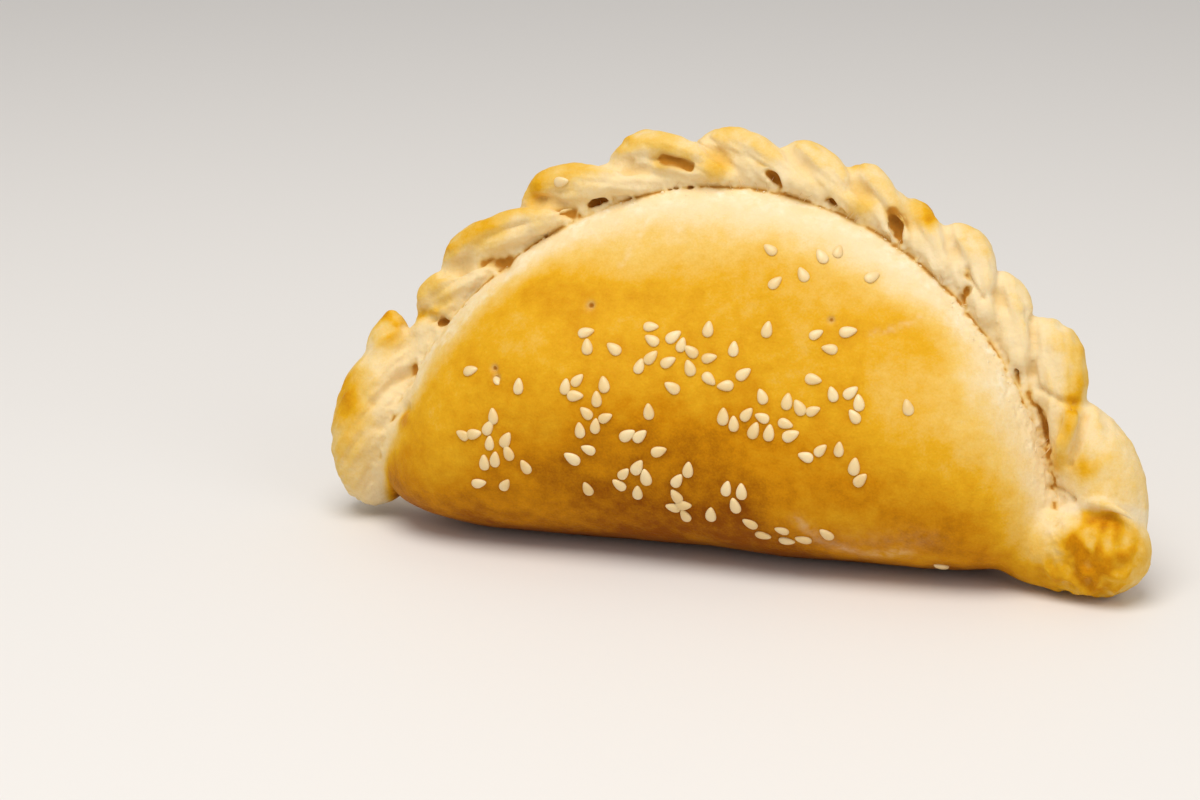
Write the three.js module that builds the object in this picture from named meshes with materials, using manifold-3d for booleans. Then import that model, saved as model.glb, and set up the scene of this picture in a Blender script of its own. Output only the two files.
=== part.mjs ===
// A baked empanada with a rope-crimped edge and sesame seeds. It stands on its fold, leaning back a
// little, with the seeded face to the front (-Y), its length along X and the crimped edge on top.
//
// The shape is built in the frame of the folded half-moon, in millimetres: x along the fold, y from
// the fold towards the crimped edge, z out of the seeded face. STAND turns that frame upright.
import * as THREE from "three";
import { mergeVertices } from "three/addons/utils/BufferGeometryUtils.js";
import Module from "manifold-3d";

const wasm = await Module();
wasm.setup();

const { degToRad, lerp, smoothstep } = THREE.MathUtils;

// The seam, where the seeded face meets the rope: an elliptical arc over the fold.
const SEAM_HALF_LENGTH = 68.3;
const SEAM_RISE = 75.3;
const SEAM_CENTRE_Y = -5;
const END_CURL = 9; // how far the seam's ends come forward

// The filled half-moon inside the seam.
const BELLY = new THREE.Vector2(0, 25); // the thickest place, where both faces have their poles
const EDGE_OUT = 1; // how far the edge runs on under the rope
const FRONT_BULGE = 30; // from the plane of the edge to the seeded face
const FRONT_POWER = 2.6; // superellipse power of that face's profile
const ROOF_TAPER = 0.42; // share of its height that the face loses towards the crimped edge
const BACK_BULGE = 8; // from the plane of the edge to the flat face that was baked on the tray
const BACK_POWER = 4; // superellipse power of that face's profile, high for flat
const CORNER_POWER = 4; // how tightly the fold turns into the arc at the two ends
const RIM_POWER = 16; // how close to its outline the face keeps its height before it rounds over
const LUMP_HEIGHT = 0.7; // the filling's low lumps under the crust

// The rope edge. Angles are degrees along the arc from its right end, out is measured from the seam.
const CORE = { start: 170, end: 6, out: 3.2, forward: 1.8, radius: 4 };
const CRIMPS = [
  { crest: 142.5, tail: 129, out: 9.6, head: 4.8, tip: 2 },
  { crest: 134.5, tail: 115, out: 11.4, head: 5.6, tip: 2.2 },
  { crest: 119.5, tail: 102, out: 11.4, head: 5.6, tip: 2 },
  { crest: 105, tail: 88, out: 11.8, head: 5.8, tip: 2 },
  { crest: 92.5, tail: 74, out: 10.8, head: 5.4, tip: 2.1 },
  { crest: 81, tail: 66, out: 10.2, head: 5, tip: 2.1 },
  { crest: 71.5, tail: 59, out: 9.6, head: 4.6, tip: 2 },
  { crest: 63, tail: 51, out: 8.2, head: 4, tip: 2.2 },
  { crest: 54.5, tail: 42, out: 11, head: 5.4, tip: 2.3 },
  { crest: 46, tail: 34, out: 10.2, head: 4.6, tip: 2.4 },
  { crest: 36, tail: 19, out: 13.4, head: 6.2, tip: 2 },
];
// A fold's path: share of the way from its crest to its tail, share of the fall from the crest's
// height to the seam, share of the change from the head's radius to the tip's, and forward.
const CRIMP_PATH = [
  [-0.4, 0.45, 0.35, 0.2],
  [0, 0, 0, 0.8],
  [0.38, 0.24, 0.5, 4.2],
  [0.7, 0.6, 0.8, 6],
  [1, 1, 1, 5],
];
const TIP_OUT = -0.2;
// The broad leaves that end the rope, as points by the seam and the radius at each.
const LEAVES = [
  { path: [[172, 4.5, 4], [163, 5.6, 2.5], [155, 6, 1], [149, 6.8, 0.5]], radii: [7, 7.2, 6.8, 5.2] },
  { path: [[156, 6, 0.5], [150.5, 8.4, 0.2], [147, 11, 0]], radii: [6, 4.6, 2.4] },
  { path: [[31, 3.6, 2], [25, 5.8, 2.6], [17.5, 8, 3.2], [5, 8, 6.5]], radii: [5, 6.8, 8.3, 9] },
];

// The rope's ends, tucked into knobs: capsules between two points of the half-moon's frame.
const KNOBS = [
  { from: [60, 9, 14], to: [72.5, 9.2, 16.5], fromRadius: 6.5, toRadius: 9.8 },
  { from: [-64, 21, 11], to: [-69, 11, 8.5], fromRadius: 6.5, toRadius: 8.5 },
];

// Sesame seeds, scattered in patches on the face. A patch has its middle, its half-sizes and a count.
const SEED_LENGTH = 3.1;
const SEED_WIDTH = 1.95;
const SEED_THICKNESS = 1.1;
const SEED_SUNK = 0.45;
const SEED_TAPER = 0.7; // how much narrower the tip is than the round end
const SEED_SPACING = 2.1;
const SEED_TRIES = 40;
const SEED_TURN = 0.75; // how far the tips turn away from up, in half turns
const SEED_VARIATION = 0.12; // how far the sizes differ
const SEED_PATCHES = [
  { x: 19, y: 56.5, wide: 18, high: 6, count: 6 },
  { x: 18.5, y: 45, wide: 10, high: 6, count: 4 },
  { x: -17.5, y: 44, wide: 18, high: 8, count: 4 },
  { x: -2, y: 39.5, wide: 17, high: 7, count: 15 },
  { x: -40.5, y: 33.5, wide: 9, high: 3, count: 3 },
  { x: -21, y: 32.6, wide: 6, high: 2.5, count: 5 },
  { x: 26, y: 35, wide: 17, high: 4, count: 7 },
  { x: 13, y: 30, wide: 10, high: 5, count: 11 },
  { x: -15.5, y: 26.5, wide: 12, high: 6, count: 8 },
  { x: -39, y: 21.5, wide: 8, high: 11, count: 12 },
  { x: -15.5, y: 17, wide: 8, high: 6, count: 7 },
  { x: -3, y: 16.5, wide: 4, high: 8, count: 7 },
  { x: 8.5, y: 16.5, wide: 5, high: 4, count: 3 },
  { x: 13, y: 9.2, wide: 16, high: 3, count: 7 },
  { x: 29, y: 24, wide: 12, high: 4, count: 5 },
  { x: 45, y: 4, wide: 0, high: 0, count: 1 },
];
const ROPE_SEED = { degrees: 116, out: 7, forward: 6.7, turn: degToRad(12) };

const LEAN = degToRad(7);
const FOOT_DEPTH = 2.3; // how far the fold is pressed flat where it stands
const CUTTER_SIZE = 400;

// Segments around and along the spheres that the strands, knobs and seeds are made of.
const BODY_DETAIL = 10;
const CORE_SEGMENTS = [8, 30];
const CRIMP_SEGMENTS = [9, 10];
const LEAF_SEGMENTS = [10, 10];
const KNOB_SEGMENTS = [12, 9];
const SEED_SEGMENTS = [6, 3];

const STAND = new THREE.Matrix4().makeRotationX(Math.PI / 2 - LEAN);

// The share of the way from the belly to the arc.
function arcReach(x, y) {
  const a = SEAM_HALF_LENGTH + EDGE_OUT;
  const b = SEAM_RISE + EDGE_OUT;
  const dx = x - BELLY.x;
  const dy = y - BELLY.y;
  const up = BELLY.y - SEAM_CENTRE_Y;
  const square = (dx / a) ** 2 + (dy / b) ** 2;
  const half = (up * dy) / b ** 2;
  const rest = (up / b) ** 2 - 1;
  return square / (-half + Math.sqrt(half * half - square * rest));
}

// The share of the way from the belly to the fold.
const foldReach = (y) => Math.max(0, 1 - y / BELLY.y);

// 0 at the belly, 1 on the half-moon's outline.
const reach = (x, y) =>
  (arcReach(x, y) ** CORNER_POWER + foldReach(y) ** CORNER_POWER) ** (1 / CORNER_POWER);

// A rounded fall from 1 at share 0 to 0 at share 1.
const dome = (share, power) => (1 - Math.min(share, 1) ** power) ** (1 / power);

const lumps = (x, y) =>
  LUMP_HEIGHT * (Math.sin(x / 11 + 0.6) * Math.sin(y / 9 + 1.1) + 0.6 * Math.sin(x / 19 - y / 13));

const curl = (x) => END_CURL * (x / (SEAM_HALF_LENGTH + EDGE_OUT)) ** 2;

// The seeded face over (x, y).
function frontPoint(x, y) {
  const r = Math.min(reach(x, y), 1);
  const taper = 1 - ROOF_TAPER * smoothstep(y, BELLY.y, SEAM_RISE + SEAM_CENTRE_Y);
  const pillow = dome(arcReach(x, y), FRONT_POWER) * dome(foldReach(y), FRONT_POWER);
  const rim = (1 - r ** RIM_POWER) ** 0.25;
  const z = FRONT_BULGE * taper * pillow * rim + lumps(x, y) * (1 - r ** 4);
  return new THREE.Vector3(x, y, z + curl(x));
}

function frontNormal(x, y) {
  const step = 0.5;
  const along = frontPoint(x + step, y).sub(frontPoint(x - step, y));
  const up = frontPoint(x, y + step).sub(frontPoint(x, y - step));
  return along.cross(up).normalize();
}

// Moves a point of the unit sphere to the half-moon's surface. The sphere's z axis is the belly's.
function bodyPoint(p) {
  const across = Math.hypot(p.x, p.y);
  const dx = across > 0 ? p.x / across : 1;
  const dy = across > 0 ? p.y / across : 0;
  const share = across / reach(BELLY.x + dx, BELLY.y + dy);
  const x = BELLY.x + dx * share;
  const y = BELLY.y + dy * share;
  if (p.z > 0) return frontPoint(x, y);
  return new THREE.Vector3(x, y, -BACK_BULGE * dome(across, BACK_POWER) + curl(x));
}

function reshape(geometry, move) {
  const position = geometry.getAttribute("position");
  const p = new THREE.Vector3();
  for (let i = 0; i < position.count; i++) {
    p.fromBufferAttribute(position, i);
    position.setXYZ(i, ...move(p));
  }
  return geometry;
}

// A closed geometry in the half-moon's frame as an upright solid.
function toSolid(geometry, matrix = STAND) {
  const bare = geometry.clone().deleteAttribute("normal").deleteAttribute("uv").applyMatrix4(matrix);
  const merged = mergeVertices(bare, 1e-4);
  return new wasm.Manifold(
    new wasm.Mesh({
      numProp: 3,
      vertProperties: merged.getAttribute("position").array,
      triVerts: new Uint32Array(merged.index.array),
    }),
  );
}

const body = () => reshape(new THREE.IcosahedronGeometry(1, BODY_DETAIL), bodyPoint);

// A point by the seam: degrees along the arc, out from the seam, and forward.
function seamPoint(degrees, out, forward) {
  const cos = Math.cos(degToRad(degrees));
  const sin = Math.sin(degToRad(degrees));
  const normal = new THREE.Vector2(cos / SEAM_HALF_LENGTH, sin / SEAM_RISE).normalize();
  const x = SEAM_HALF_LENGTH * cos + out * normal.x;
  const y = SEAM_CENTRE_Y + SEAM_RISE * sin + out * normal.y;
  return new THREE.Vector3(x, y, forward + curl(x));
}

// A blob along a curve, round in section, with its radius at share t of the curve from radiusAt(t).
function strand(points, radiusAt, segments) {
  const curve = new THREE.CatmullRomCurve3(points);
  const side = new THREE.Vector3();
  const rise = new THREE.Vector3();
  return reshape(new THREE.SphereGeometry(1, ...segments), (p) => {
    const t = (1 - p.y) / 2;
    const tangent = curve.getTangent(t);
    side.crossVectors(tangent, new THREE.Vector3(0, 0, 1)).normalize();
    rise.crossVectors(tangent, side);
    const radius = radiusAt(t);
    return curve
      .getPoint(t)
      .addScaledVector(side, p.x * radius)
      .addScaledVector(rise, p.z * radius);
  });
}

function core() {
  const steps = 24;
  const points = Array.from({ length: steps + 1 }, (_, i) =>
    seamPoint(lerp(CORE.start, CORE.end, i / steps), CORE.out, CORE.forward),
  );
  return strand(points, () => CORE.radius, CORE_SEGMENTS);
}

// A strand that is as thick at each of its points as the radius given for it.
function swelling(points, radii, segments) {
  const last = radii.length - 1;
  const radiusAt = (t) => {
    const i = Math.min(Math.floor(t * last), last - 1);
    return lerp(radii[i], radii[i + 1], t * last - i);
  };
  return strand(points, radiusAt, segments);
}

// One fold of the rope: a rounded head on the crest, rolled down in front to a tip at the seam.
function crimp({ crest, tail, out, head, tip }) {
  const points = CRIMP_PATH.map(([share, fall, , forward]) =>
    seamPoint(lerp(crest, tail, share), lerp(out - head, TIP_OUT, fall), forward),
  );
  const radii = CRIMP_PATH.map(([, , thinner]) => lerp(head, tip, thinner));
  return swelling(points, radii, CRIMP_SEGMENTS);
}

const leaf = ({ path, radii }) =>
  swelling(
    path.map((place) => seamPoint(...place)),
    radii,
    LEAF_SEGMENTS,
  );

function knob({ from, to, fromRadius, toRadius }) {
  const start = new THREE.Vector3(...from);
  const along = new THREE.Vector3(...to).sub(start);
  const up = new THREE.Vector3(0, 1, 0);
  const turn = new THREE.Quaternion().setFromUnitVectors(up, along.clone().normalize());
  return reshape(new THREE.SphereGeometry(1, ...KNOB_SEGMENTS), (p) => {
    const radius = lerp(fromRadius, toRadius, (p.y + 1) / 2);
    const share = smoothstep(p.y, -0.3, 0.3);
    return p.clone().applyQuaternion(turn).multiplyScalar(radius).add(start).addScaledVector(along, share);
  });
}

// A repeatable stream of numbers from 0 to 1.
function makeRandom(seed) {
  let state = seed;
  return () => {
    state = (Math.imul(state, 1664525) + 1013904223) >>> 0;
    return state / 2 ** 32;
  };
}

// Places for the seeds, each with its turn on the face and its size.
function scatter() {
  const random = makeRandom(7);
  const spread = () => random() + random() - 1;
  const places = [];
  for (const patch of SEED_PATCHES) {
    for (let i = 0; i < patch.count; i++) {
      let x, y;
      for (let attempt = 0; attempt < SEED_TRIES; attempt++) {
        x = patch.x + patch.wide * spread();
        y = patch.y + patch.high * spread();
        if (places.every((other) => Math.hypot(x - other.x, y - other.y) > SEED_SPACING)) break;
      }
      const turn = Math.PI * (0.5 + SEED_TURN * spread());
      places.push({ x, y, turn, size: 1 + SEED_VARIATION * spread() });
    }
  }
  return places;
}

// A teardrop on a surface, made of a sphere with its poles at the seed's two ends.
function seed(point, normal, turn, size) {
  const tip = new THREE.Vector3(Math.cos(turn), Math.sin(turn), 0);
  tip.addScaledVector(normal, -tip.dot(normal)).normalize();
  const side = new THREE.Vector3().crossVectors(tip, normal);
  const middle = point.addScaledVector(normal, SEED_THICKNESS / 2 - SEED_SUNK);
  return reshape(new THREE.SphereGeometry(size / 2, ...SEED_SEGMENTS), (p) => {
    const width = SEED_WIDTH * (1 - (SEED_TAPER * p.y) / size);
    return middle
      .clone()
      .addScaledVector(tip, p.y * SEED_LENGTH)
      .addScaledVector(side, p.x * width)
      .addScaledVector(normal, p.z * SEED_THICKNESS);
  });
}

function seeds() {
  const onFace = scatter().map(({ x, y, turn, size }) =>
    seed(frontPoint(x, y), frontNormal(x, y), turn, size),
  );
  const { degrees, out, forward, turn } = ROPE_SEED;
  const onRope = seed(seamPoint(degrees, out, forward), new THREE.Vector3(0, 0, 1), turn, 1);
  return [...onFace, onRope];
}

// The pieces as one solid, without the small hollows that the strands close in.
function fuse(geometries) {
  const solids = geometries.map((geometry) => toSolid(geometry));
  const shells = solids.reduce((all, one) => all.add(one)).decompose();
  return shells.reduce((most, one) => (one.volume() > most.volume() ? one : most));
}

// Presses the fold's underside flat, and sets the origin under the middle of the whole.
function standOn(solid) {
  const { min, max } = solid.boundingBox();
  const floor = min[2] + FOOT_DEPTH;
  const below = new THREE.BoxGeometry(CUTTER_SIZE, CUTTER_SIZE, CUTTER_SIZE);
  below.translate(0, 0, floor - CUTTER_SIZE / 2);
  const cut = solid.subtract(toSolid(below, new THREE.Matrix4()));
  return cut.translate([-(min[0] + max[0]) / 2, -(min[1] + max[1]) / 2, -floor]);
}

function toGeometry(solid) {
  const { vertProperties, triVerts } = solid.getMesh();
  const geometry = new THREE.BufferGeometry();
  geometry.setAttribute("position", new THREE.BufferAttribute(vertProperties, 3));
  geometry.setIndex(new THREE.BufferAttribute(triVerts, 1));
  geometry.computeVertexNormals();
  return geometry;
}

const dough = [body(), core(), ...CRIMPS.map(crimp), ...LEAVES.map(leaf), ...KNOBS.map(knob)];
const pieces = [...dough, ...seeds()];
const crust = new THREE.MeshStandardMaterial({ color: 0xe8b860, roughness: 0.55, metalness: 0 });
const empanada = new THREE.Mesh(toGeometry(standOn(fuse(pieces))), crust);
empanada.name = "empanada";

const group = new THREE.Group();
group.add(empanada);
export default group;
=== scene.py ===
"""A baked empanada with a rope-crimped edge and sesame seeds, on a pale floor."""

import math

import bpy
import numpy as np
from mathutils import Matrix, Vector
from mathutils.bvhtree import BVHTree


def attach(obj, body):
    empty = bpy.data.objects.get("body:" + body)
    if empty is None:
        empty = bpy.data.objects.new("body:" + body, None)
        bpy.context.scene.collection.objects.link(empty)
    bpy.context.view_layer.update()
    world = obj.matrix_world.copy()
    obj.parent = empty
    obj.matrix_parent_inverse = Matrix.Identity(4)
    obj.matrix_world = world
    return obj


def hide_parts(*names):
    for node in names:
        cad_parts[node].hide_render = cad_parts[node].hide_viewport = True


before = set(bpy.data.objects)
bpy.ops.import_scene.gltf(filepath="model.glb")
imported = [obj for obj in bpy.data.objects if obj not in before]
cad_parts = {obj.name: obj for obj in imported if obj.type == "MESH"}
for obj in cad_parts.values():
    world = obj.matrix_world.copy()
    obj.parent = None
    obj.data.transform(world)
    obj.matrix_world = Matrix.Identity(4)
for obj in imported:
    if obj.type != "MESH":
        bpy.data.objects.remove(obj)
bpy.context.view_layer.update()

# Lengths are millimetres in the frame of the folded half-moon: x along the fold, y from the fold
# towards the crimped edge, z out of the seeded face. upright() turns that frame to stand.
MM = 0.001

# The seam, where the seeded face meets the rope: an elliptical arc over the fold.
SEAM_HALF_LENGTH = 68.3
SEAM_RISE = 75.3
SEAM_CENTRE_Y = -5
END_CURL = 9

# The filled half-moon inside the seam.
BELLY = (0, 25)
EDGE_OUT = 1
FRONT_BULGE = 30
FRONT_POWER = 2.6
ROOF_TAPER = 0.42
BACK_BULGE = 8
BACK_POWER = 4
CORNER_POWER = 4
RIM_POWER = 16
LUMP_HEIGHT = 0.7

# The rope edge. Angles are degrees along the arc from its right end, out is measured from the seam.
CORE = {"start": 170, "end": 6, "out": 3.2, "forward": 1.8, "radius": 4}
# Its folds: the degrees of the crest and the tail, how far out the crest is, the head's and the tip's
# radius.
CRIMPS = [
    (142.5, 129, 9.6, 4.8, 2), (134.5, 115, 11.4, 5.6, 2.2), (119.5, 102, 11.4, 5.6, 2),
    (105, 88, 11.8, 5.8, 2), (92.5, 74, 10.8, 5.4, 2.1), (81, 66, 10.2, 5, 2.1),
    (71.5, 59, 9.6, 4.6, 2), (63, 51, 8.2, 4, 2.2), (54.5, 42, 11, 5.4, 2.3),
    (46, 34, 10.2, 4.6, 2.4), (36, 19, 13.4, 6.2, 2),
]
# A fold's path: share of the way from its crest to its tail, share of the fall from the crest's
# height to the seam, share of the change from the head's radius to the tip's, and forward.
CRIMP_PATH = [
    (-0.4, 0.45, 0.35, 0.2),
    (0, 0, 0, 0.8),
    (0.38, 0.24, 0.5, 4.2),
    (0.7, 0.6, 0.8, 6),
    (1, 1, 1, 5),
]
TIP_OUT = -0.2
# The broad leaves that end the rope: points by the seam, and the radius at each.
LEAVES = [
    ([(172, 4.5, 4), (163, 5.6, 2.5), (155, 6, 1), (149, 6.8, 0.5)], (7, 7.2, 6.8, 5.2)),
    ([(156, 6, 0.5), (150.5, 8.4, 0.2), (147, 11, 0)], (6, 4.6, 2.4)),
    ([(31, 3.6, 2), (25, 5.8, 2.6), (17.5, 8, 3.2), (5, 8, 6.5)], (5, 6.8, 8.3, 9)),
]
# The knobs where the rope is tucked in: from where to where, and the radius at each.
KNOBS = [
    ((60, 9, 14), (72.5, 9.2, 16.5), 6.5, 9.8),
    ((-64, 21, 11), (-69, 11, 8.5), 6.5, 8.5),
]

# Hollows under the folds' arches and along the seam: points by the seam, the radius at each, and
# how much deeper than wide the hollow is.
HOLLOWS = [
    ([(151, 0.8, 7), (153, -1.6, 8), (154.8, -4, 9.5)], (0.4, 0.7, 0.3), 2.6),
    ([(144.6, 2, 5), (143, 0.4, 5.6), (142, -0.4, 6)], (0.3, 0.8, 0.4), 1.9),
    ([(132.4, 2.4, 8), (130.8, 0.8, 7.8), (129.2, -0.6, 7.4)], (0.2, 0.6, 0.8), 2.6),
    ([(119.4, 2.2, 7), (117.4, 0.9, 6.8), (116.2, 0, 7)], (0.3, 0.6, 0.8), 1.9),
    ([(114.4, 0.5, 6.4), (112.4, 1, 5.6), (110.2, 0.3, 6.2)], (0.5, 0.9, 0.5), 2.8),
    ([(100.8, 5.2, 9.4), (98, 3.7, 8.8), (94.6, 1.8, 7.8)], (0.3, 0.6, 0.3), 3),
    ([(86, 3.6, 8.6), (84, 1.9, 7.4), (82.2, 0, 6.6)], (0.3, 0.9, 1), 2.4),
    ([(76, 0.6, 6.4), (74.4, 0.8, 6), (72.8, 0.3, 6.6)], (0.3, 0.7, 0.4), 2.3),
    ([(71.6, 0.4, 6.4), (70, 0.8, 6), (68.4, 0.2, 6.6)], (0.4, 0.8, 0.4), 2.3),
    ([(65.2, 4.2, 9.2), (63.4, 2.3, 8.2), (61.8, -0.1, 7.2)], (0.4, 1.2, 1.4), 2.4),
    ([(51.6, 3.4, 8), (49.6, 1.4, 7.5), (48.4, 0, 7.4)], (0.3, 0.5, 0.4), 2),
    ([(37.8, 0.8, 7.4), (36, 0.9, 7), (34.6, 0.4, 7.6)], (0.3, 0.7, 0.3), 2.3),
    ([(33.4, 0.7, 7.6), (30, 1.3, 7.8), (26.3, 1, 8), (22.6, 0.1, 8.8)], (0.2, 0.8, 0.9, 0.4), 4),
    ([(20.8, 0.4, 9.8), (19.8, 0, 9.8)], (0.5, 0.35), 2.3),
]
# How far round a hollow its rim is softened, how far under it the painted shade stays as dark,
# and how much wider that painted shade gets with the depth.
HOLLOW_RIM = 1.6
HOLLOW_SHADE_REACH = 5
HOLLOW_SHADE_SPREAD = 0.3
# The dough that runs on between the face and the rope, as (degrees, forward).
WEB = [(160, 5.2), (135, 4.4), (90, 3.8), (62, 4.2), (42, 5), (18, 6.2)]
WEB_OUT = 1.3
WEB_RADIUS = 2.6
WEB_STEPS = 60
# The torn gap at that dough's edge, so far out from the seam and so far above the dough's middle.
GAP_OUT = -0.75
GAP_WANDER = 0.3
GAP_LUMP = 2.5
GAP_ABOVE = 2
GAP_ENDS = (159, 21)
GAP_DEEP = 4
GAP_RADIUS = (0.1, 0.42)
# Thin rolls of dough laid on the rope: points by the seam, and the radius at each.
ROLLS = [
    ([(29.4, 7.8, 6.6), (27.4, 6.3, 8.7), (24.8, 3.8, 10.4), (21.8, 1.1, 10)], (1.3, 1.8, 1.7, 0.9)),
    ([(17.2, 3.4, 11.2), (16.8, 7, 12), (15.6, 10.9, 11.4), (13.4, 14.4, 9.6)], (0.5, 0.8, 0.9, 0.8)),
]

# Threads of dough between the rope and the face: a stretch of the seam in degrees, how many, and how
# far out they reach.
THREADS = [
    ((109, 118), 4, 1), ((86, 100), 7, 0.9), ((82.8, 85.2), 2, 3), ((66, 80), 9, 0.9),
    ((61.8, 64.4), 2, 2.4), ((44, 58), 5, 0.6), ((23, 26), 2, 1.6),
]
THREAD_RADIUS = (0.04, 0.09)
THREAD_SHAPE = (1.6, 1, 1.3)
# From where to where a thread's ends lie, in degrees beside its place and out from the seam, and how
# far its middle hangs aside and forward.
THREAD_TOP = {"beside": (-0.8, 0.8), "out": 0.6}
THREAD_FOOT = {"beside": (-1, 0.6), "out": (-0.7, -1.1)}
THREAD_SAG = {"aside": (-0.3, 0.3), "forward": (0, 0.5)}
# Crumbs of flour: a stretch of the seam, how many, and how far they spread on the face.
CRUMBS = [((24, 66), 60, 1.4), ((66, 118), 40, 1.6), ((118, 158), 12, 1.4)]
CRUMB_OUT = -0.9
CRUMB_RADIUS = (0.12, 0.4)
CRUMB_LUMPS = {"height": 0.35, "fine": 1.4}
CRUMB_THICK = (0.6, 1)
CRUMB_WIDE = 0.8
CRUMB_SUNK = 0.45
# Where the repeatable streams of random numbers start.
SEED_STREAM = 7
CRUMB_STREAM = 11

# Sesame seeds, scattered in patches on the face.
SEED_LENGTH = 3.1
SEED_WIDTH = 1.95
SEED_THICKNESS = 1.1
SEED_SUNK = 0.45
SEED_TAPER = 0.7
SEED_SPACING = 2.1
SEED_TRIES = 40
SEED_TURN = 0.75
SEED_VARIATION = 0.12
# The patches: the middle in x and y, how far they reach each way, and how many seeds.
SEED_PATCHES = [
    (19, 56.5, 18, 6, 6), (18.5, 45, 10, 6, 4), (-17.5, 44, 18, 8, 4), (-2, 39.5, 17, 7, 15),
    (-40.5, 33.5, 9, 3, 3), (-21, 32.6, 6, 2.5, 5), (26, 35, 17, 4, 7), (13, 30, 10, 5, 11),
    (-15.5, 26.5, 12, 6, 8), (-39, 21.5, 8, 11, 12), (-15.5, 17, 8, 6, 7), (-3, 16.5, 4, 8, 7),
    (8.5, 16.5, 5, 4, 3), (13, 9.2, 16, 3, 7), (29, 24, 12, 4, 5), (45, 4, 0, 0, 1),
]
ROPE_SEED = {"degrees": 116, "out": 7, "turn": math.radians(12)}

# The sine hash behind the noise.
HASH_STEPS = (127.1, 311.7, 74.7)
HASH_KIND = 37.3
HASH_GAIN = 43758.5453

# Relief of the baked dough. A ripple is its height and its size in millimetres, the kind of its noise
# and the octaves in it.
FACE_SWELL = (0.45, 15, 1, 2)
FACE_RIPPLE = (0.12, 4, 2, 2)
ROPE_RIPPLE = (0.3, 3.2, 4)
# The grain of the stretched rope: height, length, width, depth and the kind of its noise.
GRAINS = [(0.3, 8, 1.3, 3, 3), (0.18, 5, 0.7, 2, 18)]
GRAIN_SLOPE = math.radians(24)
GRAIN_ENDS = (16, 30)
MM_PER_DEGREE = 1.25
# Rougher dough along the seam, on the left end and on the right knob.
RAGGED = {"out": 0.4, "spread": 1.3, "ripple": (0.4, 1.1, 16, 2)}
CRUMBLY = {"out": -1.4, "spread": 1.2, "ripple": (0.28, 0.9, 17, 2), "fade": (55, 75)}
LUMPY = {"place": (156, 1), "spread": 6, "ripple": (0.4, 2.6, 20, 2)}
PUCKER = {"place": (7, 4), "spread": 10, "depth": 1.3, "ripple": (0.4, 2, 6)}
PUCKER_FOLD = {"height": 0.6, "size": (3, 4, 3)}
# Pin holes and dents of the face: x, y, radius, depth.
DENTS = [(-23, 47.5, 0.7, 1.2), (22.5, 48, 0.6, 1), (-40, 35, 0.6, 1.1), (-39.2, 33.4, 0.6, 1.1)]
# Creases of the rope: points by the seam, the depth and the width. Negative depths are ridges.
CREASES = [
    ([(158, 4.4), (154, 2), (151.6, 0.6)], 0.9, 1),
    ([(161, 1.4), (157.4, -1.4), (155.6, -3.4)], 0.8, 1),
    ([(146.4, 12), (145, 6.4), (143, 1.5)], 1.3, 0.9),
    ([(148, 12.6), (147.7, 8.3), (142.8, 3.4)], -0.8, 0.7),
    ([(138, 7.5), (134, 4.8), (131, 2)], 0.9, 0.7),
    ([(137, 5), (133, 2.6), (130, 0)], 0.9, 2),
    ([(121, 6.5), (118.5, 4), (116.5, 1)], 1, 0.9),
    ([(124, 10), (121, 6.8), (118, 5.5), (115, 5)], 0.6, 1.3),
    ([(108, 4.6), (105.6, 4.2), (103.5, 4)], 0.7, 0.8),
    ([(103, 5.2), (100, 5), (97, 3)], 0.9, 0.8),
    ([(93, 6), (91.5, 4), (91, 2)], 0.6, 0.8),
    ([(96, 7.5), (92, 5), (89, 2.6), (87, 1.2)], -0.5, 0.7),
    ([(52, 4.5), (50, 2.5), (49.4, 0)], 0.9, 0.7),
    ([(51.5, 3.4), (47.5, 3.6)], 0.6, 0.6),
    ([(55, 7.5), (51, 5.5), (48.5, 4)], -0.5, 0.8),
    ([(42, 8), (38, 6), (35, 3)], 0.6, 0.9),
    ([(32.6, 3.2), (30.6, 5.4), (29, 8)], 0.9, 0.6),
    ([(27.2, 9), (24.6, 6.7), (22, 3.9)], 1.1, 0.6),
    ([(17, -2), (17.4, 3)], 0.6, 0.7),
    ([(19.5, -1), (18.5, 1.5), (17.5, 3)], 0.6, 0.5),
]

# The shallow scoop under each fold's rim: shares of the fold's path, how far above its middle in
# shares of its radius, its depth, the step by which that changes from fold to fold, and its width.
SCOOP = {"shares": (-0.05, 0.25, 0.55), "above": (0.1, 0.2, 0.15)}
SCOOP_DEPTH = (0.5, 1.3)
SCOOP_STEP = 2.4
SCOOP_WIDTH = 1.5

# Browning, from 0 for pale dough to 1 for deep amber: by height on the face, where the change from
# pale at the top to deep amber at the bottom is part baked colour and part painted light above and
# painted shade with warm bounce light below; then patches that add to it, as x, y, half-width,
# half-height and amount on the face, and by the seam on the rope as degrees, out, radius and amount.
FACE_BROWNING_AND_SHADE = [
    (0, 1.02), (4, 0.95), (9, 0.87), (16, 0.8), (26, 0.7), (36, 0.62), (48, 0.56), (58, 0.4), (66, 0.2)
]
FACE_PATCHES = [
    (-29, 50, 14, 4, 0.12), (-8, 51, 14, 4, 0.1), (16, 56, 14, 4, 0.12), (37, 49, 9, 5, 0.12),
    (44, 44, 7, 4, 0.1), (52, 34, 13, 20, -0.22), (-5, 24, 24, 8, 0.11), (-60.4, 23, 2.2, 1.8, 0.9),
    (34, 58, 12, 5, -0.12), (32, 34, 12, 6, -0.06), (48, 17, 11, 7, 0.05), (-50, 16, 9, 12, -0.12),
    (28, 12, 12, 3, -0.12), (38, 6, 12, 2.4, -0.22), (-6, 12, 22, 9, 0.1), (60, 16, 5, 12, -0.16),
]
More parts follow.
